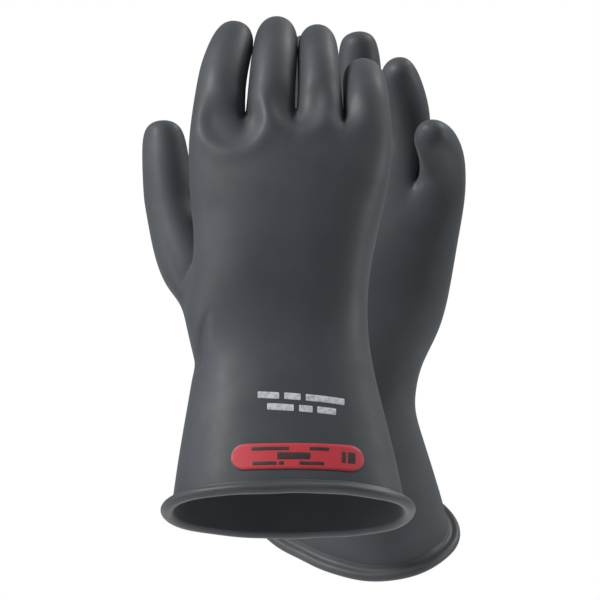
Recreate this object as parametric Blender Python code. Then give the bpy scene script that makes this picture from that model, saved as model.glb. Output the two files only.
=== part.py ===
"""A pair of electrical insulating gloves: heavy dipped rubber gauntlets, each with a rolled cuff bead and a
red class label, in metres, +Z up.

Each glove starts as one coarse cage of quads in its own straight frame: the origin is the centre of the cuff
rim, +Z runs to the fingertips, -X is the thumb side and +Y is the palm side. The cage is bent at the wrist,
stood in its place and subdivided, then cut along its own loops into the pieces that move. The left glove is
the right one mirrored front to back.
"""

import math

import bmesh
import bpy
from mathutils import Matrix, Vector

MM = 0.001

# Driving dimensions, in millimetres and degrees, in the straight frame of one glove.
WALL = 1.2  # rubber thickness
SEAM = 0.25  # each piece stops this far short of a cut, so neighbours keep 0.5 mm
KEEP_FACES = 0.8  # share of the hand's triangles that its broad, smooth shape needs
BEAD_OUT = 2.6  # half the bead's width out from the cuff
BEAD_ALONG = 2.2  # half its height along the cuff
BEAD_SIDES = 8
BEAD_GAP = 0.35
LABEL_HALF = (35.0, 7.4)
LABEL_MIDDLE = (4.0, 19.0)
LABEL_LIFT = 0.35
LABEL_THICKNESS = 0.4
LABEL_COLUMNS = 22
LABEL_ROWS = 3
CAGE_GROWTH = 1.10  # a ring of eight shrinks by about this much when it is subdivided
WRIST_Z = 88.0
WRIST_BEND = (62.0, 114.0)  # the sleeve bends between these heights
HEEL = (141.0, 20.0)  # height and reach of the swelling at the heel of the hand, little side
FINGER_CUT = 11.0  # the rubber folds this far to each side of a finger's joint
THUMB_CUT = 8.0

# Loops of the sleeve: height, centre x, half width, centre y, half depth.
SLEEVE = (
    (0.0, -1.0, 64.1, 0.0, 41.0),
    (26.0, -1.6, 60.2, 0.0, 38.0),
    (54.0, -2.8, 54.4, 0.0, 34.5),
    (80.0, -3.7, 49.1, 0.0, 31.5),
    (96.0, -6.2, 49.0, 0.0, 30.0),
    (112.0, -8.6, 50.6, 0.5, 29.5),
    (132.0, -5.0, 48.6, 1.0, 29.5),
    (156.0, -2.6, 51.4, 1.5, 28.5),
    (182.0, -0.4, 55.6, 1.5, 25.5),
    (206.0, 0.0, 56.8, 2.0, 18.5),
)
WRIST_ROW = 3  # the row above this loop is the fold of the wrist
THUMB_ROW = 5  # the thumb leaves the two rows above this loop
COLUMNS = (-0.93, -0.70, -0.43, -0.19, 0.05, 0.28, 0.52, 0.76, 0.94)
ROUNDNESS = 2.4
WEB_HEIGHTS = (218.0, 223.0, 217.0)
FINGERS = ("index", "middle", "ring", "little")
RUBBER = ((0.045, 0.050, 0.055), 0.5)  # colour and roughness
LABEL_RED = ((0.62, 0.06, 0.07), 0.45)
TIP_PROFILE = ((13.0, 0.90), (4.0, 0.66))  # distance from the end, share of the radius


def finger(root, length, radius, joint, lean, curl, splay):
    """A finger's size, and its pose: lean at the root and curl added by the tip, splay at root and tip."""
    size = {"root": root, "length": length, "radius": radius, "joint": joint}
    return {**size, "lean": lean, "curl": curl, "splay": splay}


THUMB = {
    "bends": ((-42.0, 10.0, 118.0), (-69.0, 26.0, 152.0), (-69.5, 36.0, 225.0)),
    "radius": 14.0,
    "root_radius": 17.0,
    "joint": 66.0,
}
RIGHT = {
    "name": "right",
    "index": finger((-39.0, 2.0, 214.0), 72.0, 13.5, 29.0, 8.0, 44.0, (1.0, 18.0)),
    "middle": finger((-10.5, 2.0, 217.0), 75.0, 13.0, 31.0, 6.0, 58.0, (2.0, 3.6)),
    "ring": finger((15.8, 2.0, 217.0), 70.0, 11.9, 29.0, 8.0, 55.0, (0.0, -2.0)),
    "little": finger((41.5, 2.0, 212.0), 56.0, 12.6, 23.0, 14.0, 59.0, (0.0, -6.0)),
    "thumb": THUMB,
    "heel": 0.0,
    "extension": 8.0,
    "twist": 0.0,
    "mirror": False,
    "lean": 18.0,
    "tilt": 0.0,
    "yaw": 0.0,
    "place": (0.0, 0.0, 0.0),
}
LEFT = {
    "name": "left",
    "index": finger((-39.0, 2.0, 214.0), 72.0, 13.6, 29.0, 4.0, 16.0, (-9.0, -13.0)),
    "middle": finger((-10.4, 2.0, 217.0), 75.0, 13.2, 31.0, 0.0, 4.0, (-9.0, -14.0)),
    "ring": finger((15.6, 2.0, 217.0), 70.0, 12.2, 29.0, 9.0, 34.0, (13.0, -22.0)),
    "little": finger((41.5, 2.0, 212.0), 56.0, 12.6, 23.0, 26.0, 60.0, (8.0, -1.0)),
    "thumb": THUMB,
    "heel": 11.0,
    "extension": 30.0,
    "twist": 20.0,
    "mirror": True,
    "lean": -32.0,
    "tilt": -5.5,
    "yaw": -30.0,
    "place": (36.5, 240.0, -12.5),
}


class Cage:
    """Points and quads of one glove's skin, with a region name on each quad."""

    def __init__(self):
        self.points = []
        self.faces = []
        self.regions = []

    def add_points(self, points):
        first = len(self.points)
        self.points.extend(Vector(p) for p in points)
        return list(range(first, len(self.points)))

    def add_face(self, corners, region):
        self.faces.append(corners)
        self.regions.append(region)

    def bridge(self, lower, upper, region, skip=()):
        """A row of quads between two loops with as many points."""
        count = len(lower)
        for i in range(count):
            if i not in skip:
                after = (i + 1) % count
                self.add_face((lower[i], lower[after], upper[after], upper[i]), region)


def sleeve_loop(height, x, half_width, y, half_depth, heel):
    """Twenty points round the sleeve: thumb side, nine over the back, little side, nine over the palm."""
    swelling = heel * math.exp(-(((height - HEEL[0]) / HEEL[1]) ** 2))
    back = []
    palm = []
    for share in COLUMNS:
        depth = half_depth * (1.0 - abs(share) ** ROUNDNESS) ** (1.0 / ROUNDNESS)
        across = x + half_width * share + swelling * max(share, 0.0)
        back.append((across, y - depth, height))
        palm.append((across, y + depth, height))
    return [(x - half_width, y, height), *back, (x + half_width + swelling, y, height), *reversed(palm)]


def finger_line(spec):
    """The point and direction at a distance along a finger, as a function."""

    def at(distance):
        steps = 24
        point = Vector(spec["root"])
        for step in range(steps + 1):
            share = distance * step / steps / spec["length"]
            lean = math.radians(spec["lean"] + spec["curl"] * share)
            splay = math.radians(spec["splay"][0] + (spec["splay"][1] - spec["splay"][0]) * share)
            direction = Vector((math.sin(splay), math.sin(lean), math.cos(lean))).normalized()
            if step < steps:
                point += direction * distance / steps
        return point, direction

    return at


def thumb_line(spec):
    """The same for the thumb, which follows a curve through three control points."""
    start, pull, end = (Vector(p) for p in spec["bends"])
    curve = [(1 - t) ** 2 * start + 2 * t * (1 - t) * pull + t * t * end for t in (i / 60 for i in range(61))]

    def at(distance):
        for before, after in zip(curve, curve[1:]):
            step = (after - before).length
            if distance <= step:
                return before.lerp(after, distance / step), (after - before).normalized()
            distance -= step
        return curve[-1], (curve[-1] - curve[-2]).normalized()

    return at, sum((b - a).length for a, b in zip(curve, curve[1:]))


def digit_frame(direction):
    """The sideways and palmward directions of a digit that runs this way."""
    side = (Vector((1, 0, 0)) - direction * direction.x).normalized()
    return side, direction.cross(side)


def add_digit(cage, loop, name, at, length, stations):
    """Rings of eight from the loop to a round tip. stations are (distance, radius, region below)."""
    for distance, radius, region in stations:
        centre, direction = at(distance)
        side, palmward = digit_frame(direction)
        ring = []
        for i in range(8):
            turn = math.pi + math.pi / 4 * i
            ring.append(centre + radius * (side * math.cos(turn) + palmward * math.sin(turn)))
        upper = cage.add_points(ring)
        cage.bridge(loop, upper, region)
        loop = upper
    apex = cage.add_points([at(length)[0]])[0]
    for i in range(0, 8, 2):
        cage.add_face((loop[i], loop[i + 1], loop[(i + 2) % 8], apex), name + "_tip")


def finger_stations(name, spec):
    joint = spec["joint"]
    radius = spec["radius"] * CAGE_GROWTH
    stations = [
        (joint - FINGER_CUT, radius, "hand"),
        (joint, radius * 0.98, name + "_knuckle"),
        (joint + FINGER_CUT, radius * 0.96, name + "_knuckle"),
    ]
    return stations + [(spec["length"] - back, radius * share, name + "_tip") for back, share in TIP_PROFILE]


def thumb_stations(spec, length):
    joint = spec["joint"]
    radius = spec["radius"] * CAGE_GROWTH
    root = spec["root_radius"] * CAGE_GROWTH
    stations = [
        (joint * 0.30, root, "hand"),
        (joint * 0.58, (root + radius) / 2, "hand"),
        (joint - THUMB_CUT, radius, "hand"),
        (joint, radius, "thumb_knuckle"),
        (joint + THUMB_CUT, radius, "thumb_knuckle"),
    ]
    return stations + [(length - back, radius * share, "thumb_tip") for back, share in TIP_PROFILE]


def build_cage(glove):
    """The whole skin of one glove, straight, in millimetres."""
    cage = Cage()
    loops = [cage.add_points(sleeve_loop(*row, glove["heel"])) for row in SLEEVE]
    thumb_rows = (THUMB_ROW, THUMB_ROW + 1)
    for row in range(len(loops) - 1):
        region = "gauntlet" if row < WRIST_ROW else "wrist" if row == WRIST_ROW else "hand"
        skip = (18, 19) if row in thumb_rows else ()
        cage.bridge(loops[row], loops[row + 1], region, skip)

    low, middle, high = loops[THUMB_ROW], loops[THUMB_ROW + 1], loops[THUMB_ROW + 2]
    patch = [low[19], low[0], middle[0], high[0], high[19], high[18], middle[18], low[18]]
    at, length = thumb_line(glove["thumb"])
    add_digit(cage, patch, "thumb", at, length, thumb_stations(glove["thumb"], length))

    top = loops[-1]
    webs = []
    for column, height in zip((3, 5, 7), WEB_HEIGHTS):
        middle_of_web = (cage.points[top[column]] + cage.points[top[20 - column]]) / 2
        webs.append(cage.add_points([(middle_of_web.x, middle_of_web.y, height)])[0])
    sides = [top[0], *webs, top[10]]
    for i, name in enumerate(FINGERS):
        back = top[1 + 2 * i : 4 + 2 * i]
        palm = top[17 - 2 * i : 20 - 2 * i]
        loop = [sides[i], *back, sides[i + 1], *palm]
        spec = glove[name]
        add_digit(cage, loop, name, finger_line(spec), spec["length"], finger_stations(name, spec))
    return cage


def smooth_share(value, low, high):
    share = min(max((value - low) / (high - low), 0.0), 1.0)
    return share * share * (3.0 - 2.0 * share)


def bend_wrist(point, glove):
    """Turns the hand back over the sleeve by the wrist's extension, about the wrist's own line."""
    share = smooth_share(point.z, *WRIST_BEND)
    pivot = Vector((0.0, 0.0, WRIST_Z))
    turn = Matrix.Rotation(math.radians(glove["extension"]) * share, 3, "X")
    bent = pivot + turn @ (point - pivot)
    return Matrix.Rotation(math.radians(glove["twist"]) * (1.0 - share), 3, "Z") @ bent


def placement(glove):
    """From a glove's straight frame, in mm, to the row frame, in metres."""
    mirror = Matrix.Diagonal((1.0, -1.0 if glove["mirror"] else 1.0, 1.0, 1.0))
    yaw = Matrix.Rotation(math.radians(glove["yaw"]), 4, "Z")
    lean = Matrix.Rotation(math.radians(-glove["lean"]), 4, "X")
    tilt = Matrix.Rotation(math.radians(glove["tilt"]), 4, "Y")
    return Matrix.Scale(MM, 4) @ Matrix.Translation(glove["place"]) @ tilt @ lean @ yaw @ mirror


def joint_point(glove, region):
    """The point that a region of the glove turns about, in the row frame."""
    digit = region.split("_")[0]
    if digit == "thumb":
        point = thumb_line(glove["thumb"])[0](glove["thumb"]["joint"])[0]
    elif digit in FINGERS:
        point = finger_line(glove[digit])(glove[digit]["joint"])[0]
    elif digit in ("hand", "wrist"):
        point = Vector((0.0, 0.0, WRIST_Z))
    else:
        point = Vector((0.0, 0.0, 0.0))
    return placement(glove) @ bend_wrist(point, glove)


def make_material(name, finish):
    colour, roughness = finish
    material = bpy.data.materials.new(name)
    material.use_nodes = True
    shader = material.node_tree.nodes["Principled BSDF"]
    shader.inputs["Base Color"].default_value = (*colour, 1.0)
    shader.inputs["Roughness"].default_value = roughness
    shader.inputs["Metallic"].default_value = 0.0
    return material


def make_object(name, mesh, finish, origin):
    """An object whose mesh is given in the row frame and whose own origin is at this point."""
    mesh.transform(Matrix.Translation(-origin))
    mesh.materials.clear()
    mesh.materials.append(make_material(name, finish))
    obj = bpy.data.objects.new(name, mesh)
    obj.location = origin
    bpy.context.scene.collection.objects.link(obj)
    return obj


def skin_mesh(glove):
    """The smooth skin of one glove in its place, one open surface, and the region of each of its faces."""
    cage = build_cage(glove)
    place = placement(glove)
    points = [place @ bend_wrist(p, glove) for p in cage.points]
    faces = [f[::-1] for f in cage.faces] if glove["mirror"] else cage.faces
    mesh = bpy.data.meshes.new(glove["name"] + "_cage")
    mesh.from_pydata(points, [], faces)
    names = sorted(set(cage.regions))
    for _ in names:
        mesh.materials.append(None)
    mesh.polygons.foreach_set("material_index", [names.index(r) for r in cage.regions])
    obj = bpy.data.objects.new(mesh.name, mesh)
    bpy.context.scene.collection.objects.link(obj)
    smooth = obj.modifiers.new("Smooth", "SUBSURF")
    smooth.levels = smooth.render_levels = 1
    graph = bpy.context.evaluated_depsgraph_get()
    skin = bpy.data.meshes.new_from_object(obj.evaluated_get(graph))
    bpy.data.objects.remove(obj)
    return skin, names


def cut_region(skin, index):
    """The faces of one region, with its open edges drawn back from the cuts by SEAM."""
    region = bmesh.new()
    region.from_mesh(skin)
    bmesh.ops.delete(region, geom=[f for f in region.faces if f.material_index != index], context="FACES")
    moves = {}
    for vertex in region.verts:
        if vertex.is_boundary:
            inner = next(e.other_vert(vertex) for e in vertex.link_edges if not e.is_boundary)
            moves[vertex] = (inner.co - vertex.co).normalized() * SEAM * MM
    for vertex, move in moves.items():
        vertex.co += move
    for face in region.faces:
        face.material_index = 0
        face.smooth = True
    mesh = bpy.data.meshes.new("region")
    region.to_mesh(mesh)
    region.free()
    return mesh


def make_skin_piece(glove, skin, index, region):
    """A wall of rubber for one region of the skin, open where the glove goes on."""
    name = glove["name"] + "_" + region
    piece = make_object(name, cut_region(skin, index), RUBBER, joint_point(glove, region))
    if region == "hand":
        fewer = piece.modifiers.new("Fewer faces", "DECIMATE")
        fewer.ratio = KEEP_FACES
    wall = piece.modifiers.new("Wall", "SOLIDIFY")
    wall.thickness = WALL * MM
    wall.offset = -1.0
    return piece


def rim_frames(skin):
    """The open edge of the skin in order: a point, the way out of the cuff's wall, and the way along it."""
    mesh = bmesh.new()
    mesh.from_mesh(skin)
    rim = [next(v for v in mesh.verts if v.is_boundary)]
    while len(rim) < 2 or rim[-1] is not rim[0]:
        ahead = [e.other_vert(rim[-1]) for e in rim[-1].link_edges if e.is_boundary]
        rim.append(next(v for v in ahead if v is not rim[-2]) if len(rim) > 1 else ahead[0])
    rim.pop()
    frames = []
    for i, vertex in enumerate(rim):
        around = (rim[(i + 1) % len(rim)].co - rim[i - 1].co).normalized()
        out = (vertex.normal - around * vertex.normal.dot(around)).normalized()
        frames.append((vertex.co.copy(), out, around.cross(out)))
    mesh.free()
    return frames


def make_bead(glove, skin):
    """The rolled edge: a bead of oval section that rings the outside of the rim."""
    frames = rim_frames(skin)
    bead = bmesh.new()
    rings = []
    for point, out, along in frames:
        ring = []
        for side in range(BEAD_SIDES):
            turn = 2.0 * math.pi * side / BEAD_SIDES
            reach = BEAD_GAP + BEAD_OUT * (1.0 + math.cos(turn))
            ring.append(bead.verts.new(point + (out * reach + along * BEAD_ALONG * math.sin(turn)) * MM))
        rings.append(ring)
    for ring, ahead in zip(rings, rings[1:] + rings[:1]):
        for side in range(BEAD_SIDES):
            after = (side + 1) % BEAD_SIDES
            bead.faces.new((ring[side], ring[after], ahead[after], ahead[side])).smooth = True
    mesh = bpy.data.meshes.new("bead")
    bead.to_mesh(mesh)
    bead.free()
    return make_object(glove["name"] + "_cuff_bead", mesh, RUBBER, joint_point(glove, "cuff"))


def label_outline_share(share):
    """Half height of the label at a share of its half length: straight edges and half-round ends."""
    half_length, half_height = LABEL_HALF
    into_end = abs(share) * half_length - (half_length - half_height)
    if into_end <= 0.0:
        return 1.0
    return math.sqrt(max(1.0 - (into_end / half_height) ** 2, 0.0))


def back_of_sleeve(x, height):
    """The point on the back of the cuff at this x and height, between the two lowest loops."""
    (_, *low), (top, *high) = SLEEVE[:2]
    middle, half_width, _, half_depth = (a + (b - a) * height / top for a, b in zip(low, high))
    share = abs(x - middle) / half_width
    return Vector((x, -half_depth * (1.0 - share**ROUNDNESS) ** (1.0 / ROUNDNESS), height))


def make_label(glove, gauntlet):
    """A thin rubber patch that follows the back of the gauntlet above the bead."""
    half_length, half_height = LABEL_HALF
    middle_x, middle_z = LABEL_MIDDLE
    place = placement(glove)
    widest = 0.995  # stops just short of the ends, which keep a short straight edge
    turns = [math.pi * (i / LABEL_COLUMNS - 0.5) for i in range(LABEL_COLUMNS + 1)]
    shares = [widest * math.sin(turn) for turn in turns]
    points = []
    for share in shares:
        for row in range(LABEL_ROWS + 1):
            rise = (2.0 * row / LABEL_ROWS - 1.0) * half_height * label_outline_share(share)
            point = back_of_sleeve(middle_x + share * half_length, middle_z + rise)
            points.append(place @ bend_wrist(point, glove))
    faces = []
    for i in range(LABEL_COLUMNS):
        for row in range(LABEL_ROWS):
            corner = i * (LABEL_ROWS + 1) + row
            quad = (corner, corner + LABEL_ROWS + 1, corner + LABEL_ROWS + 2, corner + 1)
            faces.append(quad[::-1] if glove["mirror"] else quad)
    mesh = bpy.data.meshes.new("label")
    mesh.from_pydata(points, [], faces)
    label = make_object(glove["name"] + "_class_label", mesh, LABEL_RED, joint_point(glove, "cuff"))
    wrap = label.modifiers.new("Follow the gauntlet", "SHRINKWRAP")
    wrap.target = gauntlet
    wrap.wrap_method = "NEAREST_SURFACEPOINT"
    wrap.offset = LABEL_LIFT * MM
    wrap.wrap_mode = "ABOVE_SURFACE"
    wall = label.modifiers.new("Thickness", "SOLIDIFY")
    wall.thickness = LABEL_THICKNESS * MM
    wall.offset = 1.0
    return label


def main():
    for obj in list(bpy.data.objects):
        bpy.data.objects.remove(obj)
    for glove in (RIGHT, LEFT):
        skin, regions = skin_mesh(glove)
        pieces = {region: make_skin_piece(glove, skin, i, region) for i, region in enumerate(regions)}
        make_bead(glove, skin)
        make_label(glove, pieces["gauntlet"])


main()
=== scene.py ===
"""Looks of a pair of electrical insulating gloves.

Each glove is one smooth skin of dipped rubber, made from the same cage of quads as the CAD model but finer,
with the soft folds round the finger roots and at the wrist. The skin is a wall with an inside, cut only at
the digits' joints. Each cuff has a rolled bead and a label with plain bars, and the right one has two rows
of plain white bars above the label.
"""

import math

import bpy
from mathutils import Matrix, Vector
from mathutils.bvhtree import BVHTree


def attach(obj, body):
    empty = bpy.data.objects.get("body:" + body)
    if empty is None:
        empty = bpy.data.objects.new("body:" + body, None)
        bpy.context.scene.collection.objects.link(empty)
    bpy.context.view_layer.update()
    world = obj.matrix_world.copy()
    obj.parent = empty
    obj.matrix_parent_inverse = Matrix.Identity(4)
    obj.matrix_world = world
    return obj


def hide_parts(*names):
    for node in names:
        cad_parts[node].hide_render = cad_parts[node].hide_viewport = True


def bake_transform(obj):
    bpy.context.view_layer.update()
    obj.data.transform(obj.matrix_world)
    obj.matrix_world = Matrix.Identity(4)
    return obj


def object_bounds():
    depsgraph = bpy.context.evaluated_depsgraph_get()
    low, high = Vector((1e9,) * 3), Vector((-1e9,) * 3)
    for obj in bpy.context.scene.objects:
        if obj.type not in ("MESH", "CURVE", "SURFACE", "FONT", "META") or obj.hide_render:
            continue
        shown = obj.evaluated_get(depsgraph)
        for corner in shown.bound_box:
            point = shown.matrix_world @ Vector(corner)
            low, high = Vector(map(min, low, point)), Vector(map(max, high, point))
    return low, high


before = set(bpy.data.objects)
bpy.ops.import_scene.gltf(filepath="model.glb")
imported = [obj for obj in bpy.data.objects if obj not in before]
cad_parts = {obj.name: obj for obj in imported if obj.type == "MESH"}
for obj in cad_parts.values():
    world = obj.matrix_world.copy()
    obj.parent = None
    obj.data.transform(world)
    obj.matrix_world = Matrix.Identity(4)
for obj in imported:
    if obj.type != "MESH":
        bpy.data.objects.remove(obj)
cad_low, cad_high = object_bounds()

MM = 0.001

# Millimetres and degrees, in the straight frame of one glove: the origin is the centre of the cuff rim, +Z
# runs to the fingertips, -X is the thumb side and +Y is the palm side. The sizes that the CAD model has too
# agree with it.
WALL = 1.2  # rubber thickness
# The rolled edge's section: how far out of the wall's outside and past the rim, in mm. It runs out from the
# wall through a soft hollow, over the roll and back under the rim, and its last points lie inside the wall.
BEAD_SECTION = (
    (0.05, -5.6),
    (0.45, -4.0),
    (1.5, -2.9),
    (3.0, -2.5),
    (4.5, -1.9),
    (5.4, -0.6),
    (5.5, 0.8),
    (4.8, 2.1),
    (3.4, 2.9),
    (1.8, 3.0),
    (0.3, 2.4),
    (-0.6, 1.3),
    (-1.0, -0.1),
    (-0.9, -2.8),
    (-0.8, -5.4),
)
BEAD_STEPS = 2  # points of the bead's surface for each point of its section
# The bead's unevenness round the cuff, as waves: how many, where they start, and their size.
BEAD_SWELLS = ((3.0, 0.7, 0.035), (7.0, 0.0, 0.025))  # share of its reach
BEAD_DIPS = ((5.0, 2.0, 0.22), (11.0, 0.0, 0.12))  # mm along the cuff
CAGE_GROWTH = 1.10  # a ring of eight shrinks by about this much when it is subdivided
WRIST_Z = 88.0
WRIST_BEND = (62.0, 114.0)  # the sleeve bends between these heights
BEND_LENGTH = WRIST_BEND[1] - WRIST_BEND[0]
HEEL = (141.0, 20.0)  # height and reach of the swelling at the heel of the hand, little side
FINGER_CUT = 11.0  # the rubber folds this far to each side of a finger's joint
THUMB_CUT = 8.0
FINGER_TAPER = (0.98, 0.96)  # share of the radius at the joint and above its fold
THUMB_RINGS = (0.30, 0.58)  # rings at the thumb's root, as shares of the way to its joint
LINE_STEPS = 24  # steps along a finger
CURVE_STEPS = 60  # steps along the thumb's curve
SMOOTHNESS = 3  # rounds of subdivision

# Hollows on the back of the hand round the finger roots: centre x and z, radius, depth, height of the welt.
HOLLOWS = (
    (-31.5, 216.0, 19.5, 2.3, 1.0),
    (4.5, 225.0, 18.0, 1.9, 1.0),
    (29.5, 221.0, 13.0, 1.0, 0.4),
)
HOLLOW_EDGE = 9.0  # distance over which a hollow deepens
HOLLOW_FADE = 14.0  # a hollow ends this far above its middle
WELT_WIDTH = 5.0
WELT_OUT = 1.0  # the welt's top stands this far outside the hollow
# The fold in the back of the wrist, thumb side: x and z along it.
WRIST_CREASE = ((-51.0, 78.0), (-49.0, 88.0), (-46.5, 99.0), (-43.0, 110.0))
CREASE_DEPTH = 2.0
CREASE_WIDTH = 2.0
CREASE_FADE = (92.0, 20.0)  # the fold fades from this height, over this distance
PINCH = (82.5, 7.5, 1.4)  # height, reach and depth of the dip in the thumb side at the fold's end
PINCH_SHARPNESS = 1.5
PINCH_SIDE = (36.0, 14.0)  # the dip starts this far to the thumb side and is whole this much further out
BACK_EDGE = (1.0, 8.0)  # the back's relief starts at this y and is whole this much nearer the back
WAVE_HEIGHT = 0.35  # unevenness of the dipped wall above the cuff
WAVE_LENGTHS = (13.0, 17.0, 21.0)  # distance along x, y and z for one radian of a wave
WAVE_PHASE = 1.3
WAVE_START = (60.0, 40.0)  # it starts at this height and is whole this much higher

LABEL = {"x": 4.0, "z": 19.0, "half_width": 35.0, "half_height": 7.4}
LABEL_THICKNESS = 0.45
# Plain bars in place of printed words: x and z of the middle, half width and half height, on the label.
LABEL_BARS = (
    (-14.5, 4.2, 10.0, 1.0),
    (11.5, 4.2, 5.2, 1.0),
    (-2.0, 0.0, 8.8, 2.0),
    (-17.5, -4.2, 6.4, 1.0),
    (-8.6, -4.2, 1.4, 1.0),
    (7.5, -4.2, 6.6, 1.0),
    (24.4, 0.2, 1.1, 3.3),
    (28.6, 0.2, 2.0, 3.3),
)
# The same for the white print above it: x and z of the middle, half width and half height.
PRINT_BARS = (
    (-11.5, 54.3, 5.7, 1.9),
    (1.3, 53.5, 4.4, 1.9),
    (18.7, 52.3, 10.3, 1.9),
    (-5.1, 47.3, 7.1, 1.9),
    (8.4, 46.4, 3.6, 1.9),
    (19.5, 45.7, 5.0, 1.9),
)
PRINT_SLOPE = -0.07  # the rows of print drop to the right
LABEL_RIM = 0.5  # the label's dark edge shows this far round it
LABEL_LIFT = 0.04  # how far the label stands off the cuff
RIM_LIFT = 0.02
RIM_THICKNESS = 0.22
BAR_CORNER = 0.5
INK_LIFT = 0.04
INK_THICKNESS = 0.08
PLATE_EDGE = 0.965  # a plate thins over the rest of its half height
PLATE_RIM = 0.5  # share of a plate's thickness that is left at its edge
PLATE_FOOT = 0.5  # share of its lift at which its underside lies
PLATE_STEP = 1.5  # half the width of a plate's columns, about
PLATE_ROWS = 1.4  # rows for each mm of a plate's half height
LEAST_ROWS = 4
LEAST_COLUMNS = 2
CORNER_STEPS = 6
BLUNT_TURN = 86.0  # the end column stands where a corner has turned this far, so it keeps some height
RAY_START = -90.0  # y of a line well outside the back of the cuff

# The stage, in metres.
CAMERA_DISTANCE = 4.0
CAMERA_SIDE = 0.0053
CAMERA_HEIGHT = 0.1128
FIELD_WIDTH = 0.3209  # width that the camera sees at the origin
SENSOR_WIDTH = 36.0  # mm
VIEW_END = 50.0
FLOOR_HALF = 0.75
FLOOR_DROP = 0.16  # how far the floor lies below the gloves
WORLD_LIGHT = 0.24
# Area lights: name, place, diameter, watts.
LIGHTS = (
    ("key", (-1.75, -0.55, 2.1), 0.9, 90.0),
    ("left_box", (-2.4, -0.3, 0.3), 1.0, 20.0),
    ("right_box", (2.4, 0.1, 0.7), 1.0, 25.0),
    ("right_back", (1.6, 1.2, 2.0), 0.9, 35.0),
)

DIPPED_RUBBER = {"base": (0.028, 0.033, 0.038), "bloom": (0.039, 0.045, 0.051), "roughness": 0.64}
ROLLED_RUBBER = {"base": (0.030, 0.034, 0.038), "bloom": (0.041, 0.046, 0.051), "roughness": 0.57}
RED_LABEL = {"colour": (0.42, 0.018, 0.030), "worn": (0.30, 0.026, 0.034), "roughness": 0.6, "wear": 0.4}
DARK_INK = {"colour": (0.020, 0.018, 0.019), "worn": (0.10, 0.03, 0.03), "roughness": 0.45, "wear": 0.4}
WHITE_INK = {"colour": (0.46, 0.48, 0.50), "worn": (0.12, 0.13, 0.14), "roughness": 0.6, "wear": 0.75}
DUST_BRIGHTNESS = 1.9  # of the dusty specks, against the bloom
PALE_FLOOR = (0.86, 0.86, 0.87, 1.0)
WORLD_COLOUR = (0.93, 0.96, 1.0, 1.0)
WHITE = (1.0, 1.0, 1.0, 1.0)
MIX_INPUTS = (0, 6, 7)  # a Mix node's sockets for the factor and two colours
MIX_COLOUR = 2  # its output for a colour

# Loops of the sleeve: height, centre x, half width, centre y, half depth.
SLEEVE = (
    (0.0, -1.0, 64.1, 0.0, 41.0),
    (26.0, -1.6, 60.2, 0.0, 38.0),
    (54.0, -2.8, 54.4, 0.0, 34.5),
    (80.0, -3.7, 49.1, 0.0, 31.5),
    (96.0, -6.2, 49.0, 0.0, 30.0),
    (112.0, -8.6, 50.6, 0.5, 29.5),
    (132.0, -5.0, 48.6, 1.0, 29.5),
    (156.0, -2.6, 51.4, 1.5, 28.5),
    (182.0, -0.4, 55.6, 1.5, 25.5),
    (206.0, 0.0, 56.8, 2.0, 18.5),
)
WRIST_ROW = 3  # the row above this loop is the fold of the wrist
THUMB_ROW = 5  # the thumb leaves the two rows above this loop
THUMB_GAP = (18, 19)  # through these quads of each, on the palm, next to the thumb side
COLUMNS = (-0.93, -0.70, -0.43, -0.19, 0.05, 0.28, 0.52, 0.76, 0.94)  # places across, as shares of half width
LOOP_POINTS = 2 * len(COLUMNS) + 2
ROUNDNESS = 2.4  # 2 would make the sleeve an ellipse
WEB_COLUMNS = (3, 5, 7)  # points of the top loop's back where one finger ends and the next starts
WEB_HEIGHTS = (218.0, 223.0, 217.0)
RING_POINTS = 8
FINGERS = ("index", "middle", "ring", "little")
TIP_PROFILE = ((13.0, 0.90), (4.0, 0.66))  # distance from the end, share of the radius


def finger(root, length, radius, joint, lean, curl, splay):
    """A finger's size, and its pose: lean at the root and curl added by the tip, splay at root and tip."""
    size = {"root": root, "length": length, "radius": radius, "joint": joint}
    return {**size, "lean": lean, "curl": curl, "splay": splay}


THUMB = {
    "bends": ((-42.0, 10.0, 118.0), (-69.0, 26.0, 152.0), (-69.5, 36.0, 225.0)),
    "radius": 14.0,
    "root_radius": 17.0,
    "joint": 66.0,
}
RIGHT = {
    "name": "right",
    "index": finger((-39.0, 2.0, 214.0), 72.0, 13.5, 29.0, 8.0, 44.0, (1.0, 18.0)),
    "middle": finger((-10.5, 2.0, 217.0), 75.0, 13.0, 31.0, 6.0, 58.0, (2.0, 3.6)),
    "ring": finger((15.8, 2.0, 217.0), 70.0, 11.9, 29.0, 8.0, 55.0, (0.0, -2.0)),
    "little": finger((41.5, 2.0, 212.0), 56.0, 12.6, 23.0, 14.0, 59.0, (0.0, -6.0)),
    "thumb": THUMB,
    "heel": 0.0,
    "extension": 8.0,
    "twist": 0.0,
    "mirror": False,
    "lean": 18.0,
    "tilt": 0.0,
    "yaw": 0.0,
    "place": (0.0, 0.0, 0.0),
}
LEFT = {
    "name": "left",
    "index": finger((-39.0, 2.0, 214.0), 72.0, 13.6, 29.0, 4.0, 16.0, (-9.0, -13.0)),
    "middle": finger((-10.4, 2.0, 217.0), 75.0, 13.2, 31.0, 0.0, 4.0, (-9.0, -14.0)),
    "ring": finger((15.6, 2.0, 217.0), 70.0, 12.2, 29.0, 9.0, 34.0, (13.0, -22.0)),
    "little": finger((41.5, 2.0, 212.0), 56.0, 12.6, 23.0, 26.0, 60.0, (8.0, -1.0)),
    "thumb": THUMB,
    "heel": 11.0,
    "extension": 30.0,
    "twist": 20.0,
    "mirror": True,
    "lean": -32.0,
    "tilt": -5.5,
    "yaw": -30.0,
    "place": (36.5, 240.0, -12.5),
}


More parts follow.
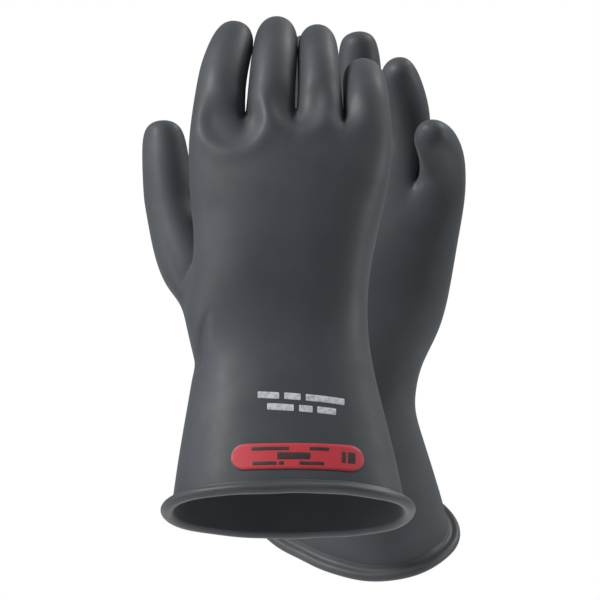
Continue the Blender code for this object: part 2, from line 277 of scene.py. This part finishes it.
class Cage:
    """Points and quads of one glove's skin, with a region name on each quad."""

    def __init__(self):
        self.points = []
        self.faces = []
        self.regions = []

    def add_points(self, points):
        first = len(self.points)
        self.points.extend(Vector(p) for p in points)
        return list(range(first, len(self.points)))

    def add_face(self, corners, region):
        self.faces.append(corners)
        self.regions.append(region)

    def bridge(self, lower, upper, region, skip=()):
        """A row of quads between two loops with as many points."""
        count = len(lower)
        for i in range(count):
            if i not in skip:
                after = (i + 1) % count
                self.add_face((lower[i], lower[after], upper[after], upper[i]), region)


def sleeve_loop(height, x, half_width, y, half_depth, heel):
    """Points round the sleeve: the thumb side, nine over the back, the little side, nine over the palm."""
    swelling = heel * math.exp(-(((height - HEEL[0]) / HEEL[1]) ** 2))
    back = []
    palm = []
    for share in COLUMNS:
        depth = half_depth * (1.0 - abs(share) ** ROUNDNESS) ** (1.0 / ROUNDNESS)
        across = x + half_width * share + swelling * max(share, 0.0)
        back.append((across, y - depth, height))
        palm.append((across, y + depth, height))
    return [(x - half_width, y, height), *back, (x + half_width + swelling, y, height), *reversed(palm)]


def finger_line(spec):
    """The point and direction at a distance along a finger, as a function."""

    def at(distance):
        point = Vector(spec["root"])
        for step in range(LINE_STEPS + 1):
            share = distance * step / LINE_STEPS / spec["length"]
            lean = math.radians(spec["lean"] + spec["curl"] * share)
            splay = math.radians(spec["splay"][0] + (spec["splay"][1] - spec["splay"][0]) * share)
            direction = Vector((math.sin(splay), math.sin(lean), math.cos(lean))).normalized()
            if step < LINE_STEPS:
                point += direction * distance / LINE_STEPS
        return point, direction

    return at


def thumb_line(spec):
    """The same for the thumb, which follows a curve set by three control points, and the curve's length."""
    start, pull, end = (Vector(p) for p in spec["bends"])
    shares = [i / CURVE_STEPS for i in range(CURVE_STEPS + 1)]
    curve = [(1 - t) ** 2 * start + 2 * t * (1 - t) * pull + t * t * end for t in shares]

    def at(distance):
        for before, after in zip(curve, curve[1:]):
            step = (after - before).length
            if distance <= step:
                return before.lerp(after, distance / step), (after - before).normalized()
            distance -= step
        return curve[-1], (curve[-1] - curve[-2]).normalized()

    return at, sum((b - a).length for a, b in zip(curve, curve[1:]))


def digit_frame(direction):
    """The sideways and palmward directions of a digit that runs this way."""
    side = (Vector((1, 0, 0)) - direction * direction.x).normalized()
    return side, direction.cross(side)


def add_digit(cage, loop, name, at, length, stations):
    """Rings from the loop to a round tip. stations are (distance, radius, region below)."""
    for distance, radius, region in stations:
        centre, direction = at(distance)
        side, palmward = digit_frame(direction)
        ring = []
        for i in range(RING_POINTS):
            turn = math.pi + 2.0 * math.pi / RING_POINTS * i
            ring.append(centre + radius * (side * math.cos(turn) + palmward * math.sin(turn)))
        upper = cage.add_points(ring)
        cage.bridge(loop, upper, region)
        loop = upper
    apex = cage.add_points([at(length)[0]])[0]
    for i in range(0, RING_POINTS, 2):
        cage.add_face((loop[i], loop[i + 1], loop[(i + 2) % RING_POINTS], apex), name + "_tip")


def finger_stations(name, spec):
    joint = spec["joint"]
    radius = spec["radius"] * CAGE_GROWTH
    stations = [
        (joint - FINGER_CUT, radius, "hand"),
        (joint, radius * FINGER_TAPER[0], name + "_knuckle"),
        (joint + FINGER_CUT, radius * FINGER_TAPER[1], name + "_knuckle"),
    ]
    return stations + [(spec["length"] - back, radius * share, name + "_tip") for back, share in TIP_PROFILE]


def thumb_stations(spec, length):
    joint = spec["joint"]
    radius = spec["radius"] * CAGE_GROWTH
    root = spec["root_radius"] * CAGE_GROWTH
    stations = [
        (joint * THUMB_RINGS[0], root, "hand"),
        (joint * THUMB_RINGS[1], (root + radius) / 2, "hand"),
        (joint - THUMB_CUT, radius, "hand"),
        (joint, radius, "thumb_knuckle"),
        (joint + THUMB_CUT, radius, "thumb_knuckle"),
    ]
    return stations + [(length - back, radius * share, "thumb_tip") for back, share in TIP_PROFILE]


def build_cage(glove):
    """The whole skin of one glove, straight, in millimetres."""
    cage = Cage()
    loops = [cage.add_points(sleeve_loop(*row, glove["heel"])) for row in SLEEVE]
    thumb_rows = (THUMB_ROW, THUMB_ROW + 1)
    for row in range(len(loops) - 1):
        region = "gauntlet" if row < WRIST_ROW else "wrist" if row == WRIST_ROW else "hand"
        skip = THUMB_GAP if row in thumb_rows else ()
        cage.bridge(loops[row], loops[row + 1], region, skip)

    low, middle, high = loops[THUMB_ROW], loops[THUMB_ROW + 1], loops[THUMB_ROW + 2]
    far, near = THUMB_GAP
    patch = [low[near], low[0], middle[0], high[0], high[near], high[far], middle[far], low[far]]
    at, length = thumb_line(glove["thumb"])
    add_digit(cage, patch, "thumb", at, length, thumb_stations(glove["thumb"], length))

    top = loops[-1]
    webs = []
    for column, height in zip(WEB_COLUMNS, WEB_HEIGHTS):
        middle_of_web = (cage.points[top[column]] + cage.points[top[LOOP_POINTS - column]]) / 2
        webs.append(cage.add_points([(middle_of_web.x, middle_of_web.y, height)])[0])
    sides = [top[0], *webs, top[LOOP_POINTS // 2]]
    for i, name in enumerate(FINGERS):
        back = top[1 + 2 * i : 4 + 2 * i]
        palm = top[LOOP_POINTS - 3 - 2 * i : LOOP_POINTS - 2 * i]
        loop = [sides[i], *back, sides[i + 1], *palm]
        spec = glove[name]
        add_digit(cage, loop, name, finger_line(spec), spec["length"], finger_stations(name, spec))
    return cage


def smooth_step(value):
    """From 0 to 1, level at both ends."""
    value = min(max(value, 0.0), 1.0)
    return value * value * (3.0 - 2.0 * value)


def bend_wrist(point, glove):
    """Turns the hand back over the sleeve by the wrist's extension, about the wrist's own line."""
    share = smooth_step((point.z - WRIST_BEND[0]) / BEND_LENGTH)
    pivot = Vector((0.0, 0.0, WRIST_Z))
    turn = Matrix.Rotation(math.radians(glove["extension"]) * share, 3, "X")
    bent = pivot + turn @ (point - pivot)
    return Matrix.Rotation(math.radians(glove["twist"]) * (1.0 - share), 3, "Z") @ bent


def placement(glove):
    """From a glove's straight frame, in mm, to the row frame, in metres."""
    mirror = Matrix.Diagonal((1.0, -1.0 if glove["mirror"] else 1.0, 1.0, 1.0))
    yaw = Matrix.Rotation(math.radians(glove["yaw"]), 4, "Z")
    lean = Matrix.Rotation(math.radians(-glove["lean"]), 4, "X")
    tilt = Matrix.Rotation(math.radians(glove["tilt"]), 4, "Y")
    return Matrix.Scale(MM, 4) @ Matrix.Translation(glove["place"]) @ tilt @ lean @ yaw @ mirror


def hollow_depth(point):
    """How far the back of the hand sinks, or rises in a welt, round the finger roots."""
    sink = 0.0
    for x, z, radius, depth, welt in HOLLOWS:
        inward = radius - math.hypot(point.x - x, min(point.z - z, 0.0))
        fade = 1.0 - smooth_step((point.z - z) / HOLLOW_FADE)
        sink -= depth * smooth_step(inward / HOLLOW_EDGE) * fade
        sink += welt * math.exp(-((inward + WELT_OUT) / WELT_WIDTH) ** 2) * fade
    return sink


def crease_depth(point):
    """The narrow fold in the back of the wrist, thumb side."""
    nearest = math.inf
    for (x0, z0), (x1, z1) in zip(WRIST_CREASE, WRIST_CREASE[1:]):
        along = ((point.x - x0) * (x1 - x0) + (point.z - z0) * (z1 - z0)) / ((x1 - x0) ** 2 + (z1 - z0) ** 2)
        along = min(max(along, 0.0), 1.0)
        across = math.hypot(point.x - x0 - along * (x1 - x0), point.z - z0 - along * (z1 - z0))
        nearest = min(nearest, across)
    start, length = CREASE_FADE
    fade = 1.0 - smooth_step((point.z - start) / length)
    return -CREASE_DEPTH * math.exp(-((nearest / CREASE_WIDTH) ** 2)) * fade


def relief(point):
    """Movement of the skin along its normal, in mm, at a point of the straight glove."""
    back = smooth_step((BACK_EDGE[0] - point.y) / BACK_EDGE[1])
    across, deep, up = (value / length for value, length in zip(point, WAVE_LENGTHS))
    waves = WAVE_HEIGHT * math.sin(across + WAVE_PHASE) * math.sin(up + deep)
    waves *= smooth_step((point.z - WAVE_START[0]) / WAVE_START[1])
    height, reach, depth = PINCH
    pinch = depth * math.exp(-(abs(point.z - height) / reach) ** PINCH_SHARPNESS)
    pinch *= smooth_step((-point.x - PINCH_SIDE[0]) / PINCH_SIDE[1])
    return back * (hollow_depth(point) + crease_depth(point)) + waves - pinch


def subdivided(points, cage, name):
    """The cage at these points, subdivided: a mesh, and the region names that its material indices count."""
    mesh = bpy.data.meshes.new(name)
    mesh.from_pydata(points, [], cage.faces)
    regions = sorted(set(cage.regions))
    for _ in regions:
        mesh.materials.append(None)
    mesh.polygons.foreach_set("material_index", [regions.index(r) for r in cage.regions])
    obj = bpy.data.objects.new(name, mesh)
    bpy.context.scene.collection.objects.link(obj)
    smooth = obj.modifiers.new("Smooth", "SUBSURF")
    smooth.levels = smooth.render_levels = SMOOTHNESS
    fine = bpy.data.meshes.new_from_object(obj.evaluated_get(bpy.context.evaluated_depsgraph_get()))
    bpy.data.objects.remove(obj)
    return fine, regions


class Skin:
    """One glove's outer surface in its place, in metres."""

    def __init__(self, glove):
        cage = build_cage(glove)
        if glove["mirror"]:
            cage.faces = [face[::-1] for face in cage.faces]
        self.glove = glove
        self.place = placement(glove)
        straight, _ = subdivided(cage.points, cage, "straight")
        posed = [self.place @ bend_wrist(p, glove) for p in cage.points]
        mesh, regions = subdivided(posed, cage, "posed")
        normals = [v.normal.copy() for v in mesh.vertices]
        for vertex, normal, flat in zip(mesh.vertices, normals, straight.vertices):
            vertex.co += normal * relief(flat.co) * MM
        mesh.update()
        self.points = [v.co.copy() for v in mesh.vertices]
        self.normals = [v.normal.copy() for v in mesh.vertices]
        self.faces = [(tuple(f.vertices), regions[f.material_index]) for f in mesh.polygons]
        self.tree = BVHTree.FromPolygons(self.points, [f for f, _ in self.faces])

    def cuff_turn(self):
        """The straight frame's axes on the cuff, below the wrist's bend."""
        return self.place.to_3x3().normalized() @ Matrix.Rotation(math.radians(self.glove["twist"]), 3, "Z")

    def on_back_of_cuff(self, x, z):
        """The point of the cuff's back, and its normal, at x and z of the straight frame."""
        start = self.place @ bend_wrist(Vector((x, RAY_START, z)), self.glove)
        point, normal, _, _ = self.tree.ray_cast(start, self.cuff_turn() @ Vector((0.0, 1.0, 0.0)))
        return point, normal


def add_mesh(name, points, faces, material, normals=None):
    """An object from points and faces, shaded smooth, with one normal for each point where they are given."""
    mesh = bpy.data.meshes.new(name)
    mesh.from_pydata(points, [], faces)
    mesh.materials.append(material)
    mesh.shade_smooth()
    if normals:
        mesh.normals_split_custom_set_from_vertices(normals)
    obj = bpy.data.objects.new(name, mesh)
    bpy.context.scene.collection.objects.link(obj)
    return obj


def wall_piece(name, skin, regions, material):
    """The skin's faces in these regions as a wall of rubber, closed round its open edges."""
    faces = [face for face, region in skin.faces if region in regions]
    slots = {}
    for face in faces:
        for corner in face:
            slots.setdefault(corner, len(slots))
    count = len(slots)
    used = {(a, b) for face in faces for a, b in zip(face, face[1:] + face[:1])}
    rims = [(a, b) for a, b in used if (b, a) not in used]
    outer = [skin.points[v] for v in slots]
    normals = [skin.normals[v] for v in slots]
    inner = [p - n * WALL * MM for p, n in zip(outer, normals)]
    quads = [tuple(slots[v] for v in face) for face in faces]
    quads += [tuple(slots[v] + count for v in reversed(face)) for face in faces]
    quads += [(slots[b], slots[a], slots[a] + count, slots[b] + count) for a, b in rims]
    return add_mesh(name, outer + inner, quads, material, normals + [-n for n in normals])


def make_glove_skin(skin, rubber):
    """The sleeve, palm and finger roots in one piece, and a piece for each digit from its joint's fold on."""
    name = skin.glove["name"]
    main = wall_piece(name + "_glove_skin", skin, ("gauntlet", "wrist", "hand"), rubber)
    low = skin.place @ Vector((0.0, 0.0, WRIST_BEND[0]))
    high = low + skin.cuff_turn() @ Vector((0.0, 0.0, 1.0)) * BEND_LENGTH * MM
    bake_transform(main)
    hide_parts(name + "_gauntlet", name + "_wrist", name + "_hand")
    for digit in (*FINGERS, "thumb"):
        piece = wall_piece(f"{name}_{digit}_skin", skin, (digit + "_knuckle", digit + "_tip"), rubber)
        middle, along, reach = digit_joint(skin, digit)
        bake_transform(piece)
        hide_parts(f"{name}_{digit}_knuckle", f"{name}_{digit}_tip")


def digit_joint(skin, digit):
    """A digit's joint in its place: the middle, the digit's direction there, and how far the fold reaches."""
    spec = skin.glove[digit]
    line = thumb_line(spec)[0] if digit == "thumb" else finger_line(spec)
    cut = THUMB_CUT if digit == "thumb" else FINGER_CUT
    before, middle, after = (
        skin.place @ bend_wrist(line(spec["joint"] + step)[0], skin.glove) for step in (-cut, 0.0, cut)
    )
    return middle, (after - before).normalized(), cut * MM


def rim_frames(skin):
    """The cuff's open edge in order: a point, the way out of the wall, and the way out of the opening."""
    edges = {(a, b) for face, _ in skin.faces for a, b in zip(face, face[1:] + face[:1])}
    after = {a: b for a, b in edges if (b, a) not in edges}
    line = [min(after)]
    while after[line[-1]] != line[0]:
        line.append(after[line[-1]])
    frames = []
    for i, vertex in enumerate(line):
        around = (skin.points[line[(i + 1) % len(line)]] - skin.points[line[i - 1]]).normalized()
        normal = skin.normals[vertex]
        out = (normal - around * normal.dot(around)).normalized()
        frames.append((skin.points[vertex], out, around.cross(out)))
    return frames


def rounded(section, steps):
    """A closed section with more points, on a smooth curve through those given."""
    points = [Vector(point) for point in section]
    curve = []
    for i, point in enumerate(points):
        before, after, beyond = (points[(i + step) % len(points)] for step in (-1, 1, 2))
        for t in (step / steps for step in range(steps)):
            bend = (2.0 * before - 5.0 * point + 4.0 * after - beyond) * t * t
            turn = (3.0 * point - before - 3.0 * after + beyond) * t**3
            curve.append(point + ((after - before) * t + bend + turn) / 2.0)
    return curve


def make_bead(skin, rubber):
    """The edge rolled outwards and grown into the wall, a little uneven as dipped rubber is."""
    frames = rim_frames(skin)
    section = rounded(BEAD_SECTION, BEAD_STEPS)
    sides = len(section)
    points = []
    for i, (point, out, along) in enumerate(frames):
        lap = 2.0 * math.pi * i / len(frames)
        swell = 1.0 + sum(size * math.sin(count * lap + start) for count, start, size in BEAD_SWELLS)
        dip = sum(size * math.sin(count * lap + start) for count, start, size in BEAD_DIPS)
        for reach, past in section:
            if reach > 0.0:
                reach *= swell
            points.append(point + (out * reach + along * (past + dip)) * MM)
    faces = []
    for here in range(0, len(points), sides):
        ahead = (here + sides) % len(points)
        for side in range(sides):
            after = (side + 1) % sides
            faces.append((here + side, here + after, ahead + after, ahead + side))
    name = skin.glove["name"]
    bead = add_mesh(name + "_rolled_bead", points, faces, rubber)
    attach(bead, name + "_cuff")
    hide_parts(name + "_cuff_bead")


def plate_columns(half_width, half_height, corner):
    """Columns across a plate with round corners: how far out, and how high the plate is there."""
    turns = [math.radians(90.0 - 90.0 / CORNER_STEPS * i) for i in range(CORNER_STEPS + 1)]
    arc = [(math.sin(turn), math.cos(turn)) for turn in turns]
    arc[0] = (1.0, math.cos(math.radians(BLUNT_TURN)))
    right = [(half_width - corner + corner * out, half_height - corner + corner * up) for out, up in arc]
    between = max(LEAST_COLUMNS, int((half_width - corner) / PLATE_STEP))
    middle = [((half_width - corner) * (2.0 * i / between - 1.0), half_height) for i in range(1, between)]
    return [(-out, up) for out, up in right] + middle + right[::-1]


def cuff_patch(skin, x, z, half_width, half_height, corner, lift, thickness, slope=0.0):
    """A thin plate with round corners that follows the back of the cuff: its points and faces."""
    columns = plate_columns(half_width, half_height, corner)
    rows = max(LEAST_ROWS, int(half_height * PLATE_ROWS))
    shares = [-1.0, *(PLATE_EDGE * (2.0 * i / rows - 1.0) for i in range(rows + 1)), 1.0]
    top, bottom = [], []
    for column, (out, rise) in enumerate(columns):
        for row, up in enumerate(shares):
            point, normal = skin.on_back_of_cuff(x + out, z + up * rise + slope * out)
            edge = column in (0, len(columns) - 1) or row in (0, len(shares) - 1)
            top.append(point + normal * (lift + thickness * (PLATE_RIM if edge else 1.0)) * MM)
            bottom.append(point + normal * lift * PLATE_FOOT * MM)
    count, width = len(top), len(shares)
    quads = []
    for a in (i * width + j for i in range(len(columns) - 1) for j in range(width - 1)):
        quads.append((a, a + width, a + width + 1, a + 1))
        quads.append((a + count, a + count + 1, a + count + width + 1, a + count + width))
    for low in (i * width for i in range(len(columns) - 1)):
        high = low + width - 1
        quads.append((low, low + count, low + count + width, low + width))
        quads.append((high, high + width, high + count + width, high + count))
    for left in range(width - 1):
        right = left + (len(columns) - 1) * width
        quads.append((left, left + 1, left + 1 + count, left + count))
        quads.append((right, right + count, right + 1 + count, right + 1))
    faces = [quad[::-1] for quad in quads] if skin.glove["mirror"] else quads
    return top + bottom, faces


def add_patches(skin, name, plates, material):
    """Several cuff plates as one object that rides on the cuff."""
    points, faces = [], []
    for plate in plates:
        more_points, more_faces = cuff_patch(skin, *plate)
        faces += [tuple(v + len(points) for v in face) for face in more_faces]
        points += more_points
    obj = add_mesh(f'{skin.glove["name"]}_{name}', points, faces, material)
    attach(obj, skin.glove["name"] + "_cuff")
    return obj


def make_label(skin, red, ink):
    """The class label: a red plate on a slightly larger dark one, with plain bars in place of words."""
    x, z, w, h = (LABEL[key] for key in ("x", "z", "half_width", "half_height"))
    rim = (x, z, w + LABEL_RIM, h + LABEL_RIM, h + LABEL_RIM, RIM_LIFT, RIM_THICKNESS)
    add_patches(skin, "label_edge", [rim], ink)
    plate = (x, z, w, h, h, LABEL_LIFT, LABEL_THICKNESS)
    label = add_patches(skin, "label_plate", [plate], red)
    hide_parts(skin.glove["name"] + "_class_label")
    lift = LABEL_THICKNESS + INK_LIFT
    bars = [(x + bx, z + bz, bw, bh, BAR_CORNER, lift, INK_THICKNESS) for bx, bz, bw, bh in LABEL_BARS]
    add_patches(skin, "label_bars", bars, ink)


def make_print(skin, white):
    """The white print above the label, as plain bars."""
    bars = [(x, z, w, h, BAR_CORNER, INK_LIFT, INK_THICKNESS, PRINT_SLOPE) for x, z, w, h in PRINT_BARS]
    add_patches(skin, "cuff_print", bars, white)


def node(tree, kind, inputs=None, **settings):
    """A shader node with its settings; inputs gives each socket a value or another node's output."""
    made = tree.nodes.new(kind)
    for key, value in settings.items():
        setattr(made, key, value)
    for key, value in (inputs or {}).items():
        if isinstance(value, bpy.types.NodeSocket):
            tree.links.new(value, made.inputs[key])
        else:
            made.inputs[key].default_value = value
    return made


def noise(tree, scale, detail=3.0, roughness=0.5):
    """Noise in the object's own coordinates, which are metres."""
    place = node(tree, "ShaderNodeTexCoord").outputs["Object"]
    inputs = {"Vector": place, "Scale": scale, "Detail": detail, "Roughness": roughness}
    return node(tree, "ShaderNodeTexNoise", inputs).outputs["Fac"]


def ramp(tree, factor, low, high, low_colour, high_colour):
    """A colour that runs from one to the other between two values of factor."""
    made = node(tree, "ShaderNodeValToRGB", {"Fac": factor})
    stops = made.color_ramp.elements
    stops[0].position, stops[0].color = low, (*low_colour, 1.0)
    stops[1].position, stops[1].color = high, (*high_colour, 1.0)
    return made.outputs["Color"]


def grey(value):
    return (value, value, value)


def mixed(tree, factor, first, second):
    """A colour between two others."""
    made = node(tree, "ShaderNodeMix", data_type="RGBA", blend_type="MIX")
    for i, value in zip(MIX_INPUTS, (factor, first, second)):
        if isinstance(value, bpy.types.NodeSocket):
            tree.links.new(value, made.inputs[i])
        else:
            made.inputs[i].default_value = value
    return made.outputs[MIX_COLOUR]


def new_material(name):
    """A material, its nodes and its shader."""
    material = bpy.data.materials.new(name)
    material.use_nodes = True
    return material, material.node_tree, material.node_tree.nodes["Principled BSDF"]


def connect(tree, shader, **outputs):
    """Links outputs to the shader's sockets, named with _ for a space."""
    for key, output in outputs.items():
        tree.links.new(output, shader.inputs[key.replace("_", " ")])


def bump(tree, height, strength, distance, normal=None):
    """A normal tilted by a height; it starts from another bump's normal where one is given."""
    inputs = {"Height": height, "Strength": strength, "Distance": distance}
    if normal is not None:
        inputs["Normal"] = normal
    return node(tree, "ShaderNodeBump", inputs).outputs[0]


def rubber_material(name, base, bloom, roughness):
    """Satin dipped rubber: faint cloudy bloom, fine dusty specks, and a very fine pebbled surface."""
    material, tree, shader = new_material(name)
    cloudy = noise(tree, scale=22.0, detail=4.0, roughness=0.55)
    clouds = ramp(tree, cloudy, low=0.36, high=0.70, low_colour=base, high_colour=bloom)
    dusty = noise(tree, scale=900.0, detail=2.0)
    specks = ramp(tree, dusty, low=0.66, high=0.80, low_colour=grey(0.0), high_colour=grey(0.35))
    dust = (*(channel * DUST_BRIGHTNESS for channel in bloom), 1.0)
    patchy = noise(tree, scale=70.0, detail=5.0, roughness=0.6)
    satin = [grey(roughness + change) for change in (-0.05, 0.07)]
    gloss = ramp(tree, patchy, low=0.3, high=0.75, low_colour=satin[0], high_colour=satin[1])
    waves = bump(tree, noise(tree, scale=95.0, detail=2.0), strength=0.05, distance=0.0006)
    pebbly = noise(tree, scale=1400.0, detail=2.0)
    pebbles = bump(tree, pebbly, strength=0.08, distance=0.00015, normal=waves)
    connect(tree, shader, Base_Color=mixed(tree, specks, clouds, dust), Roughness=gloss, Normal=pebbles)
    shader.inputs["Sheen Weight"].default_value = 0.06
    shader.inputs["Sheen Roughness"].default_value = 0.45
    shader.inputs["Specular IOR Level"].default_value = 0.35
    shader.inputs["Coat Weight"].default_value = 0.06
    shader.inputs["Coat Roughness"].default_value = 0.32
    return material


def ink_material(name, colour, worn, roughness, wear):
    """Flat ink or label rubber, with faint blotches of another colour where it has worn."""
    material, tree, shader = new_material(name)
    rubbed = noise(tree, scale=420.0, detail=4.0, roughness=0.6)
    blotches = ramp(tree, rubbed, low=0.42, high=0.72, low_colour=grey(0.0), high_colour=grey(wear))
    tint = mixed(tree, blotches, (*colour, 1.0), (*worn, 1.0))
    matt = [grey(roughness + change) for change in (-0.04, 0.06)]
    gloss = ramp(tree, noise(tree, scale=160.0), low=0.3, high=0.7, low_colour=matt[0], high_colour=matt[1])
    grain = bump(tree, noise(tree, scale=1100.0, detail=2.0), strength=0.1, distance=0.0001)
    connect(tree, shader, Base_Color=tint, Roughness=gloss, Normal=grain)
    return material


def make_stage():
    """A pale floor well below the gloves, a white surround, a soft key light on the left and weaker fills."""
    floor_mesh = bpy.data.meshes.new("floor")
    height = cad_low.z - FLOOR_DROP
    corners = [(FLOOR_HALF * x, FLOOR_HALF * y, height) for x, y in ((-1, -1), (1, -1), (1, 1), (-1, 1))]
    floor_mesh.from_pydata(corners, [], [(0, 1, 2, 3)])
    floor = bpy.data.objects.new("floor", floor_mesh)
    bpy.context.scene.collection.objects.link(floor)
    material, _, shader = new_material("pale_floor")
    shader.inputs["Base Color"].default_value = PALE_FLOOR
    shader.inputs["Roughness"].default_value = 0.8
    floor.data.materials.append(material)

    world = bpy.data.worlds.new("surround")
    world.use_nodes = True
    tree = world.node_tree
    glow = tree.nodes["Background"]
    glow.inputs["Color"].default_value = WORLD_COLOUR
    glow.inputs["Strength"].default_value = WORLD_LIGHT
    seen = node(tree, "ShaderNodeBackground", {"Color": WHITE, "Strength": 1.0})
    seen_directly = node(tree, "ShaderNodeLightPath").outputs["Is Camera Ray"]
    both = node(tree, "ShaderNodeMixShader", {0: seen_directly, 1: glow.outputs[0], 2: seen.outputs[0]})
    tree.links.new(both.outputs[0], tree.nodes["World Output"].inputs["Surface"])
    bpy.context.scene.world = world
    bpy.context.scene.view_settings.view_transform = "Standard"

    for name, place, size, energy in LIGHTS:
        light = bpy.data.lights.new(name, "AREA")
        light.shape = "DISK"
        light.size = size
        light.energy = energy
        lamp = bpy.data.objects.new(name, light)
        lamp.location = place
        aim = (cad_low + cad_high) / 2.0 - Vector(place)
        lamp.rotation_euler = aim.to_track_quat("-Z", "Y").to_euler()
        bpy.context.scene.collection.objects.link(lamp)


def make_camera():
    """A long lens, level, at half the gloves' height and square to the right cuff's width."""
    data = bpy.data.cameras.new("camera")
    data.sensor_width = SENSOR_WIDTH
    data.lens = data.sensor_width * CAMERA_DISTANCE / FIELD_WIDTH
    data.clip_end = VIEW_END
    camera = bpy.data.objects.new("camera", data)
    camera.location = (CAMERA_SIDE, -CAMERA_DISTANCE, CAMERA_HEIGHT)
    camera.rotation_euler = (math.radians(90.0), 0.0, 0.0)
    bpy.context.scene.collection.objects.link(camera)
    bpy.context.scene.camera = camera


def main():
    rubber = rubber_material("dipped_rubber", **DIPPED_RUBBER)
    roll = rubber_material("rolled_rubber", **ROLLED_RUBBER)
    red = ink_material("red_label", **RED_LABEL)
    dark = ink_material("dark_ink", **DARK_INK)
    white = ink_material("white_ink", **WHITE_INK)
    for glove in (RIGHT, LEFT):
        skin = Skin(glove)
        make_glove_skin(skin, rubber)
        make_bead(skin, roll)
        make_label(skin, red, dark)
        if not glove["mirror"]:
            make_print(skin, white)
    make_stage()
    make_camera()
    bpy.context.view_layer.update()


main()
